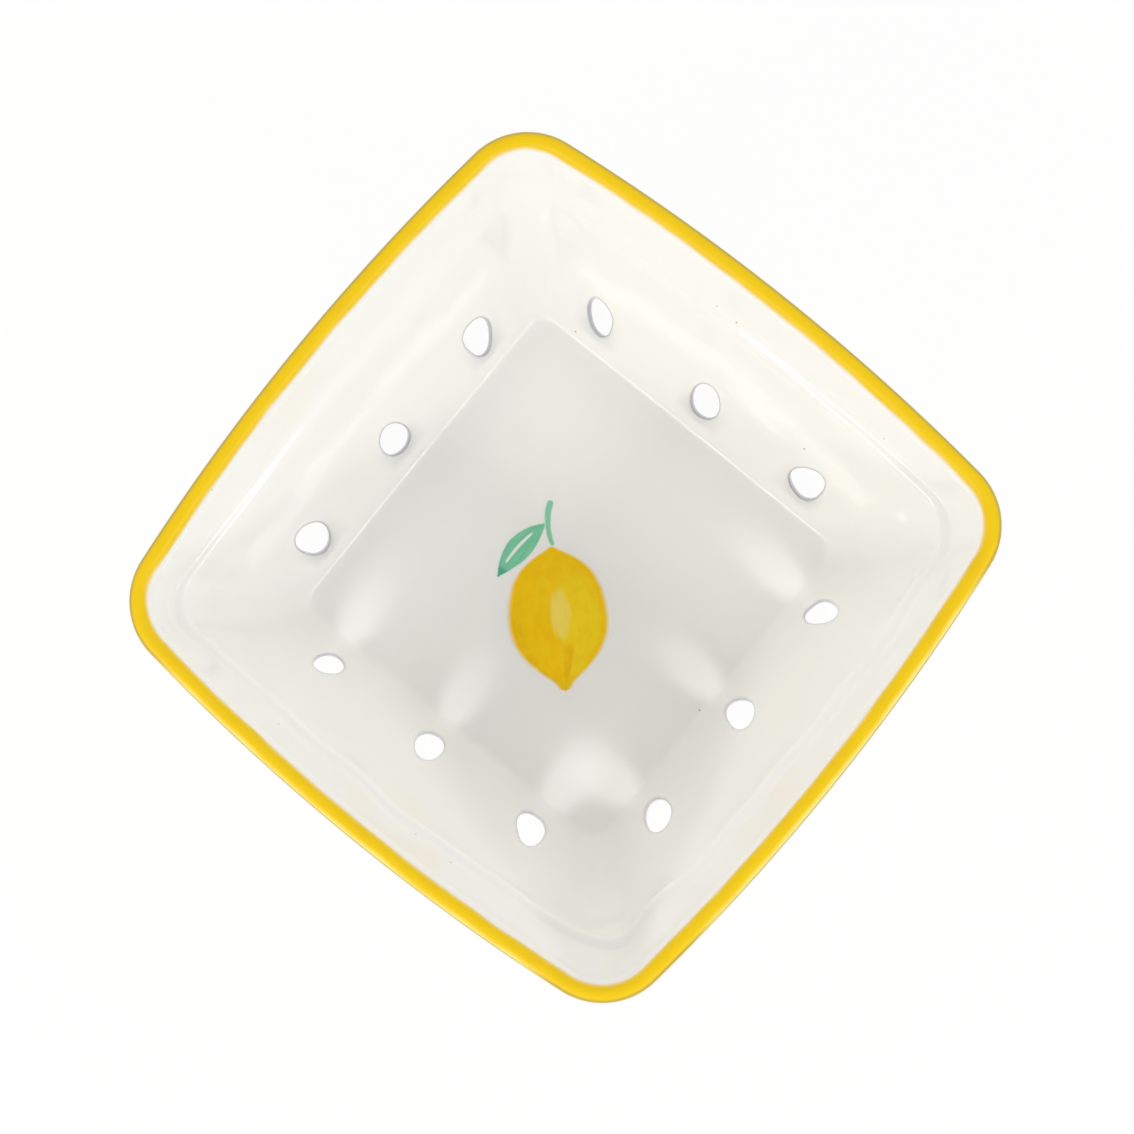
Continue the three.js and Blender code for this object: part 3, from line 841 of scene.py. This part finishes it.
def enamel_finish(coordinates, output, colour, soft):
    """Fired colour on the white glaze: full inside the stroke, and fading with an unsteady edge."""
    unsteady = (noise(coordinates, ENAMEL_SCALE, 1.0) - 0.5) * ENAMEL_WANDER
    painted = (weight(coordinates, "inside") + unsteady).ramp(-soft / 2, soft / 2)
    colour = painted.mix(white_glaze(coordinates), colour)
    glaze_finish(coordinates, output, colour, ENAMEL_DULL, ENAMEL_SHINE)


FRUIT_LENGTH = 0.032
FRUIT_WIDTH = 0.0218
FRUIT_NECK = 0.8
FRUIT_NECK_POWER = 8
FRUIT_TAPER = 0.86
FRUIT_TAPER_POWER = 3
FRUIT_NUB = 0.0017
FRUIT_MARGIN = 0.0009
FRUIT_SOFT = 0.0014
FRUIT_POINTS = 160
FRUIT_ORDER = 1
fruit_turn = np.linspace(0, np.pi, FRUIT_POINTS)
fruit_waist = np.where(
    np.cos(fruit_turn) > 0,
    1 - FRUIT_NECK * np.abs(np.cos(fruit_turn)) ** FRUIT_NECK_POWER,
    1 - FRUIT_TAPER * np.abs(np.cos(fruit_turn)) ** FRUIT_TAPER_POWER,
)
fruit_line = np.stack([np.zeros_like(fruit_turn), FRUIT_LENGTH / 2 * np.cos(fruit_turn)], 1)
fruit_end = FRUIT_LENGTH / 2 - np.abs(fruit_line[:, 1])
fruit_nub = np.sqrt(np.maximum(FRUIT_NUB**2 - (fruit_end - FRUIT_NUB) ** 2, 0))
fruit_width = np.maximum(FRUIT_WIDTH / 2 * np.sin(fruit_turn) * fruit_waist, fruit_nub)
fruit = painted_layer("lemon_fruit", fruit_line, fruit_width, FRUIT_MARGIN, FRUIT_ORDER)

# Colours, and where each lies: shares of the way along the fruit, or places across it in half widths.
LEMON = (0.93, 0.585, 0.002)
LEMON_LIGHT = (0.92, 0.67, 0.014)
LEMON_PALE = (0.91, 0.735, 0.14)
LEMON_DEEP = (0.86, 0.50, 0.001)
LEMON_HAIRS = (5.0, 7.0)
HAIR_SWAY = 0.5
HAIR_RANGE = (0.35, 0.7)
HAIR_DEPTH = 0.25
LIGHT_ACROSS = (-0.15, 0.25, 0.62, 0.95)
LIGHT_ALONG = (0.08, 0.3)
SIDE_ACROSS = (-0.95, -0.6)
SIDE_ALONG = (0.25, 0.5)
SIDE_DEPTH = 0.8
TIP_ALONG = (0.84, 0.97)
TIP_DEPTH = 0.7
NECK_ALONG = (0.10, 0.32)
NECK_DEPTH = 0.25
BLOT_SCALE = 330.0
BLOT_DEEP_RANGE = (0.48, 0.68)
BLOT_DEEP = 0.3
BLOT_LIGHT_RANGE = (0.32, 0.5)
BLOT_LIGHT = 0.5
CENTRE_ACROSS = 0.16
CENTRE_EDGE = (0.004, 0.03)
CENTRE_ALONG = (0.66, 0.72)
CENTRE_DEPTH = 1.1
PATCH_ACROSS = 0.05
PATCH_ALONG = 0.47
PATCH_NARROW = 4.2
PATCH_SHORT = 5.2
PATCH_SWAY = 0.8
PATCH_EDGE = (0.35, 1.1)
PATCH_DEPTH = 0.85
lemon_material, coordinates, output = new_finish("lemon_enamel")
along, across = weight(coordinates, "along"), 0 - weight(coordinates, "across")
hairs = brushed(coordinates, *LEMON_HAIRS)
blots = noise(coordinates, BLOT_SCALE, 3.0)
swayed = across + (hairs - 0.5) * HAIR_SWAY
lemon = (swayed.band(*LIGHT_ACROSS) * along.ramp(*LIGHT_ALONG)).mix(LEMON, LEMON_LIGHT)
pooled = (1 - swayed.ramp(*SIDE_ACROSS)) * along.ramp(*SIDE_ALONG) * SIDE_DEPTH
pooled = pooled + along.ramp(*TIP_ALONG) * TIP_DEPTH + (1 - along.ramp(*NECK_ALONG)) * NECK_DEPTH
pooled = pooled + blots.ramp(*BLOT_DEEP_RANGE) * BLOT_DEEP
from_centre = across - CENTRE_ACROSS
centre_stroke = (1 - (from_centre * from_centre).ramp(*CENTRE_EDGE)) * along.ramp(*CENTRE_ALONG)
pooled = pooled + centre_stroke * CENTRE_DEPTH
lemon = pooled.node("ShaderNodeClamp", {0: pooled}).mix(lemon, LEMON_DEEP)
lemon = ((1 - blots.ramp(*BLOT_LIGHT_RANGE)) * BLOT_LIGHT).mix(lemon, LEMON_LIGHT)
patch_across, patch_along = (across - PATCH_ACROSS) * PATCH_NARROW, (along - PATCH_ALONG) * PATCH_SHORT
from_patch = patch_across * patch_across + patch_along * patch_along + (hairs - 0.5) * PATCH_SWAY
lemon = ((1 - from_patch.ramp(*PATCH_EDGE)) * PATCH_DEPTH).mix(lemon, LEMON_PALE)
lemon = (hairs.ramp(*HAIR_RANGE) * HAIR_DEPTH).mix(lemon, LEMON_DEEP)
enamel_finish(coordinates, output, lemon, FRUIT_SOFT)
fruit.data.materials.append(lemon_material)
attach(fruit, "root")
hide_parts("motif_fruit")


# Painted stem: one short bent stroke of green enamel from the fruit's neck, fired on with it. The brush was
# pressed harder towards the end, so the stroke widens, and it was laid last.
STEM_LENGTH = 0.0101
STEM_BEND = 0.0011
STEM_WIDTH = 0.0015
STEM_TAPER = 0.62
STEM_GAP = 0.0002
STEM_ORDER = 3
GREEN_MARGIN = 0.0001
GREEN_SOFT = 0.0005
stem_foot = FRUIT_LENGTH / 2 + STEM_GAP
stem_line = bezier(
    np.array([STEM_BEND / 2, stem_foot]),
    np.array([-STEM_BEND, stem_foot + STEM_LENGTH / 2]),
    np.array([STEM_BEND, stem_foot + STEM_LENGTH]),
    CURVE_POINTS,
)
stem_width = STEM_WIDTH / 2 * np.linspace(STEM_TAPER, 1, CURVE_POINTS)
stem = painted_layer("lemon_stem", stem_line, stem_width, GREEN_MARGIN, STEM_ORDER)

GREEN_LIGHT = (0.225, 0.605, 0.395)
GREEN_PALE = (0.27, 0.60, 0.42)
GREEN_RANGE = (0.3, 0.7)
STEM_HAIRS = (4.0, 1.5)
stem_material, coordinates, output = new_finish("stem_enamel")
green = brushed(coordinates, *STEM_HAIRS).ramp(*GREEN_RANGE).mix(GREEN_LIGHT, GREEN_PALE)
enamel_finish(coordinates, output, green, GREEN_SOFT)
stem.data.materials.append(stem_material)
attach(stem, "root")
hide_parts("motif_stem")


# Painted leaf: a bent pointed lens of green enamel that hangs from the middle of the stem, fired on with it.
# The white floor shows along its vein, between two strokes, and the colour is darkest at the tip.
LEAF_LENGTH = 0.016
LEAF_WIDTH = 0.0054
LEAF_DROOP = np.radians(42)
LEAF_BEND = 0.0014
LEAF_SWELL = 0.9
LEAF_BLUNT = 0.13
LEAF_OVERLAP = 0.0004
LEAF_ORDER = 2
joint = stem_line[CURVE_POINTS // 2]
leaf_start = joint - np.array([STEM_WIDTH / 2 - LEAF_OVERLAP, 0])
leaf_way = -np.array([np.cos(LEAF_DROOP), np.sin(LEAF_DROOP)])
leaf_tip = leaf_start + leaf_way * LEAF_LENGTH
leaf_bend = (leaf_start + leaf_tip) / 2 + LEAF_BEND * np.array([leaf_way[1], -leaf_way[0]])
leaf_line = bezier(leaf_start, leaf_bend, leaf_tip, CURVE_POINTS)
leaf_share = np.linspace(0, 1, CURVE_POINTS)
leaf_width = LEAF_WIDTH / 2 * np.maximum(np.sin(np.pi * leaf_share) ** LEAF_SWELL, LEAF_BLUNT)
leaf = painted_layer("lemon_leaf", leaf_line, leaf_width, GREEN_MARGIN, LEAF_ORDER)

GREEN = (0.165, 0.545, 0.325)
GREEN_DARK = (0.08, 0.42, 0.26)
LEAF_HAIRS = (4.0, 3.0)
DARK_ALONG = (0.83, 0.90)
DARK_SWAY = 0.1
VEIN_ACROSS = 0.15
VEIN_EDGE = (0.004, 0.03)
VEIN_ALONG = (0.2, 0.28, 0.74, 0.8)
VEIN_DEPTH = 0.95
leaf_material, coordinates, output = new_finish("leaf_enamel")
along, across = weight(coordinates, "along"), weight(coordinates, "across")
hairs = brushed(coordinates, *LEAF_HAIRS)
green = hairs.ramp(*GREEN_RANGE).mix(GREEN, GREEN_LIGHT)
green = (along + (hairs - 0.5) * DARK_SWAY).ramp(*DARK_ALONG).mix(green, GREEN_DARK)
from_vein = across - VEIN_ACROSS
vein = (1 - (from_vein * from_vein).ramp(*VEIN_EDGE)) * along.band(*VEIN_ALONG)
enamel_finish(coordinates, output, (vein * VEIN_DEPTH).mix(green, GLAZE_WHITE), GREEN_SOFT)
leaf.data.materials.append(leaf_material)
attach(leaf, "root")
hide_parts("motif_leaf")


# Table, light and camera: a white table in a light room, with a low narrow window beyond the -X and the -Y
# wall and a wide one beyond each of the others. The camera looks down, a few degrees off the bowl's axis.
TABLE_SIZE = 3.0
TABLE_WHITE = (0.9, 0.9, 0.9)
TABLE_GLOW = 0.9
corner = TABLE_SIZE / 2
table_corners = [[-corner, -corner, 0], [corner, -corner, 0], [corner, corner, 0], [-corner, corner, 0]]
table = mesh_piece("table", np.array(table_corners), [np.array([[0, 1, 2, 3]])])


def shown_to_eye(field):
    """1 for what the camera sees, straight or through a gloss or a clear body, and 0 for light that only
    falls on the object."""
    rays = ("Is Camera Ray", "Is Glossy Ray", "Is Transmission Ray")
    straight, gloss, clear = (field.node("ShaderNodeLightPath", {}, out=ray) for ray in rays)
    return straight + gloss + clear


table_material, coordinates, output = new_finish("table_white")
lit = coordinates.node("ShaderNodeBsdfDiffuse", {"Color": (*TABLE_WHITE, 1)})
glow = coordinates.node("ShaderNodeEmission", {"Color": (1, 1, 1, 1), "Strength": 1.0})
blend = coordinates.node("ShaderNodeMixShader", {0: shown_to_eye(coordinates) * TABLE_GLOW, 1: lit, 2: glow})
from_below = coordinates.node("ShaderNodeNewGeometry", {}, out="Backfacing")
clear = coordinates.node("ShaderNodeBsdfTransparent", {})
blend = coordinates.node("ShaderNodeMixShader", {0: from_below, 1: blend, 2: clear})
coordinates.tree.links.new(blend.socket, output.inputs["Surface"])
table.data.materials.append(table_material)

ROOM_SIDES = 0.91
ROOM_CEILING = 0.515
ROOM_RISE = (0.2, 0.95)
ROOM_COLOUR = (1.0, 0.995, 0.985)
world = bpy.data.worlds.new("room")
bpy.context.scene.world = world
world.use_nodes = True
sky = world.node_tree.nodes["Background"]
look = Field(world.node_tree, None).node("ShaderNodeTexCoord", {})
upwards = look.node("ShaderNodeSeparateXYZ", {0: look}, out="Z").ramp(*ROOM_RISE)
room = ROOM_SIDES - upwards * (ROOM_SIDES - ROOM_CEILING)
room = room + shown_to_eye(look) * (1 - room)
sky.inputs["Color"].default_value = (*ROOM_COLOUR, 1)
world.node_tree.links.new(room.socket, sky.inputs["Strength"])

# Windows: degrees round the bowl from +X and above the table, distance, width, height, watts, colour, and
# whether the glaze mirrors it.
WINDOWS = {
    "window_left": (180, 31, 1.0, 0.8, 0.12, 3.6, (1.0, 0.97, 0.90), True),
    "window_right": (-90, 31, 1.0, 0.8, 0.12, 2.85, (0.97, 1.0, 1.0), True),
    "far_left": (90, 34, 1.3, 1.6, 0.9, 3.2, (1.0, 0.95, 0.82), False),
    "far_right": (0, 34, 1.3, 1.6, 0.9, 3.7, (1.0, 0.98, 0.93), False),
}
for name, (turn, rise, distance, width, height, watts, colour, mirrored) in WINDOWS.items():
    turn, rise = np.radians(turn), np.radians(rise)
    lamp = bpy.data.lights.new(name, "AREA")
    lamp.shape = "RECTANGLE"
    lamp.size, lamp.size_y, lamp.energy, lamp.color = width, height, watts, colour
    made = bpy.data.objects.new(name, lamp)
    bpy.context.scene.collection.objects.link(made)
    level = distance * np.cos(rise)
    made.location = (level * np.cos(turn), level * np.sin(turn), distance * np.sin(rise))
    made.rotation_euler = (np.pi / 2 - rise, 0, turn + np.pi / 2)
    made.visible_glossy = mirrored

# Daylight that falls in through the drain holes of the -X and -Y walls: a spot lamp at each hole throws a
# soft fan on the floor that doesn't lose strength over its few centimetres. For each wall: its quarter, the
# fans' direction, and the place of the one fan that turns aside and is wider.
FAN_DROP = np.radians(52)
FAN_ANGLE = np.radians(74)
FAN_BLEND = 0.8
FAN_SOFT = 0.0015
FAN_NARROW = 0.62
FAN_ASIDE = np.radians(9)
FAN_WIDER = 0.1
FAN_STRENGTH = 9.5
FAN_LIFT = 0.005
FAN_WALLS = ((2, np.radians(8), 1), (3, np.radians(85), -1))
fan_reach = drain_reach - DRAIN_RADIUS
fan_height = np.interp(fan_reach, inner_face[:, 0], inner_face[:, 1]) + FAN_LIFT
for quarter, fan_turn, corner_place in FAN_WALLS:
    for place in (-1, 0, 1):
        lamp = bpy.data.lights.new("fan", "SPOT")
        lamp.spot_size, lamp.spot_blend, lamp.shadow_soft_size = FAN_ANGLE, FAN_BLEND, FAN_SOFT
        lamp.energy = 1.0
        lamp.use_nodes = True
        start = Field(lamp.node_tree, None)
        steady = start.node("ShaderNodeLightFalloff", {"Strength": FAN_STRENGTH}, out="Constant")
        lamp.node_tree.links.new(steady.socket, lamp.node_tree.nodes["Emission"].inputs["Strength"])
        made = bpy.data.objects.new("fan", lamp)
        bpy.context.scene.collection.objects.link(made)
        made.location = (*(quarter_turn(quarter) @ np.array([fan_reach, place * DRAIN_PITCH])), fan_height)
        beside_corner = place == corner_place
        aside = beside_corner * corner_place * FAN_ASIDE
        made.rotation_euler = (np.pi / 2 - FAN_DROP, 0, fan_turn - np.pi / 2 - aside)
        made.scale = (FAN_NARROW + beside_corner * FAN_WIDER, 1, 1)

PICTURE_PIXELS = 1134
FOCAL_PIXELS = 2369
SENSOR_WIDTH = 36.0
CAMERA_PLACE = (-0.0149, -0.0250, 0.5295)
CAMERA_TURN = np.radians((3.18, 1.14, -50.99))
camera = bpy.data.cameras.new("camera")
camera.sensor_width = SENSOR_WIDTH
camera.lens = SENSOR_WIDTH * FOCAL_PIXELS / PICTURE_PIXELS
camera_object = bpy.data.objects.new("camera", camera)
bpy.context.scene.collection.objects.link(camera_object)
camera_object.location = CAMERA_PLACE
camera_object.rotation_mode = "YXZ"
camera_object.rotation_euler = CAMERA_TURN
bpy.context.scene.camera = camera_object
bpy.context.scene.view_settings.view_transform = "Standard"
